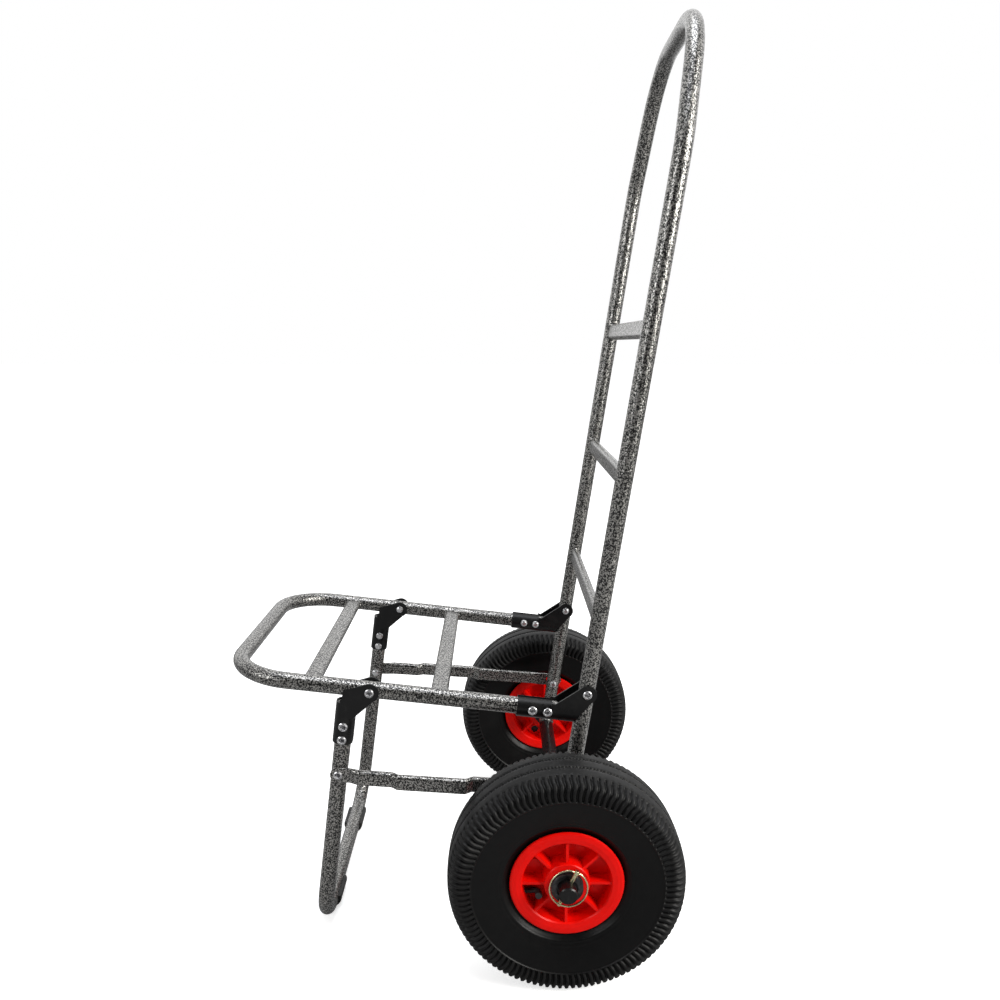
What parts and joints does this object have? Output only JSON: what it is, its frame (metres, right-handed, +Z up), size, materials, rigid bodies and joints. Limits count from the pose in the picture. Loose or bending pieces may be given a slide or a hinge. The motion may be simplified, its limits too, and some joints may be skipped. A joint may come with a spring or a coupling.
{
  "type": "folding hand truck",
  "caption": "Folding two-wheeled hand truck with a hooped tube back frame, fold-down load platform, front leg hoop with foot pads, side links and pneumatic tyres.",
  "frame": {"origin": "on the floor, under the middle of the bounding box, on the plane of symmetry", "axes": "+X along the axle to the left side as seen from behind the handle, +Y to the rear where the handle leans, -Y to the load platform, +Z up"},
  "size_m": [0.557, 0.5214, 1.0278],
  "materials": {
    "hammertone_paint": "hammered black and silver enamel",
    "black_paint": "satin black",
    "bright_zinc": "bright zinc plate",
    "dark_steel": "dark grey plated steel",
    "yellow_zinc": "yellow passivated zinc plate",
    "red_plastic": "glossy moulded red",
    "tyre_rubber": "matt black rubber",
    "black_rubber": "matt",
    "black_nylon": "matt"
  },
  "bodies": {
    "back_frame": {"back_frame_tube": "hammertone_paint", "back_slat_upper": "hammertone_paint", "back_slat_middle": "hammertone_paint", "back_slat_lower": "hammertone_paint", "axle": "black_paint", "axle_collar_left": "black_paint", "axle_collar_right": "black_paint", "inner_washer_left": "bright_zinc", "inner_washer_right": "bright_zinc", "outer_washer_left": "dark_steel", "outer_washer_right": "dark_steel", "linch_pin_left": "yellow_zinc", "linch_pin_right": "yellow_zinc", "link_rivet_rear_left": "bright_zinc", "link_rivet_rear_right": "bright_zinc"},
    "platform": {"platform_tube": "hammertone_paint", "platform_slat_front": "hammertone_paint", "platform_slat_rear": "hammertone_paint", "rear_bracket_left": "black_paint", "rear_bracket_right": "black_paint", "rear_bracket_rivets_left": "bright_zinc", "rear_bracket_rivets_right": "bright_zinc", "platform_pivot_rivet_left": "bright_zinc", "platform_pivot_rivet_right": "bright_zinc"},
    "leg_frame": {"leg_frame_tube": "hammertone_paint", "front_bracket_left": "black_paint", "front_bracket_right": "black_paint", "front_bracket_rivets_left": "bright_zinc", "front_bracket_rivets_right": "bright_zinc", "leg_pivot_rivet_left": "bright_zinc", "leg_pivot_rivet_right": "bright_zinc", "link_rivet_front_left": "bright_zinc", "link_rivet_front_right": "bright_zinc", "foot_pad_left": "black_rubber", "foot_pad_right": "black_rubber"},
    "link_left": {"link_left": "hammertone_paint"},
    "wheel_left": {"tyre_left": "tyre_rubber", "inner_tube_left": "black_rubber", "rim_outer_left": "red_plastic", "rim_inner_left": "red_plastic", "hub_bush_outer_left": "black_nylon", "hub_bush_inner_left": "black_nylon", "rim_bolts_left": "black_paint", "valve_stem_left": "black_rubber", "valve_cap_left": "black_nylon"},
    "linch_ring_left": {"linch_ring_left": "yellow_zinc"},
    "link_right": {"link_right": "hammertone_paint"},
    "wheel_right": {"tyre_right": "tyre_rubber", "inner_tube_right": "black_rubber", "rim_outer_right": "red_plastic", "rim_inner_right": "red_plastic", "hub_bush_outer_right": "black_nylon", "hub_bush_inner_right": "black_nylon", "rim_bolts_right": "black_paint", "valve_stem_right": "black_rubber", "valve_cap_right": "black_nylon"},
    "linch_ring_right": {"linch_ring_right": "yellow_zinc"}
  },
  "joints": [
    {"name": "platform_fold", "type": "hinge", "parent": "back_frame", "child": "platform", "pos_m": [0, 0.15208, 0.3132], "axis": [-1, 0, 0], "range_deg": [0, 90]},
    {"name": "leg_fold", "type": "hinge", "parent": "platform", "child": "leg_frame", "pos_m": [0, -0.09124, 0.31568], "axis": [-1, 0, 0], "range_deg": [-90, 0]},
    {"name": "link_fold_left", "type": "hinge", "parent": "leg_frame", "child": "link_left", "pos_m": [0.1718, -0.13047, 0.21618], "axis": [-1, 0, 0], "range_deg": [0, 81.5]},
    {"name": "wheel_spin_left", "type": "hinge", "parent": "back_frame", "child": "wheel_left", "pos_m": [0.2285, 0.12634, 0.13], "axis": [1, 0, 0], "continuous": true},
    {"name": "linch_ring_flip_left", "type": "hinge", "parent": "back_frame", "child": "linch_ring_left", "pos_m": [0.2643, 0.13559, 0.14941], "axis": [0, -0.9025, 0.4307], "range_deg": [0, 150]},
    {"name": "link_fold_right", "type": "hinge", "parent": "leg_frame", "child": "link_right", "pos_m": [-0.1718, -0.13047, 0.21618], "axis": [-1, 0, 0], "range_deg": [0, 81.5]},
    {"name": "wheel_spin_right", "type": "hinge", "parent": "back_frame", "child": "wheel_right", "pos_m": [-0.2285, 0.12634, 0.13], "axis": [1, 0, 0], "continuous": true},
    {"name": "linch_ring_flip_right", "type": "hinge", "parent": "back_frame", "child": "linch_ring_right", "pos_m": [-0.2643, 0.13559, 0.14941], "axis": [0, 0.9025, -0.4307], "range_deg": [0, 150]}
  ],
  "couplings": [
    {"joint": "leg_fold", "follows": "platform_fold", "ratio": -1},
    {"joint": "link_fold_left", "follows": "platform_fold", "ratio": 0.9047},
    {"joint": "link_fold_right", "follows": "platform_fold", "ratio": 0.9047}
  ]
}
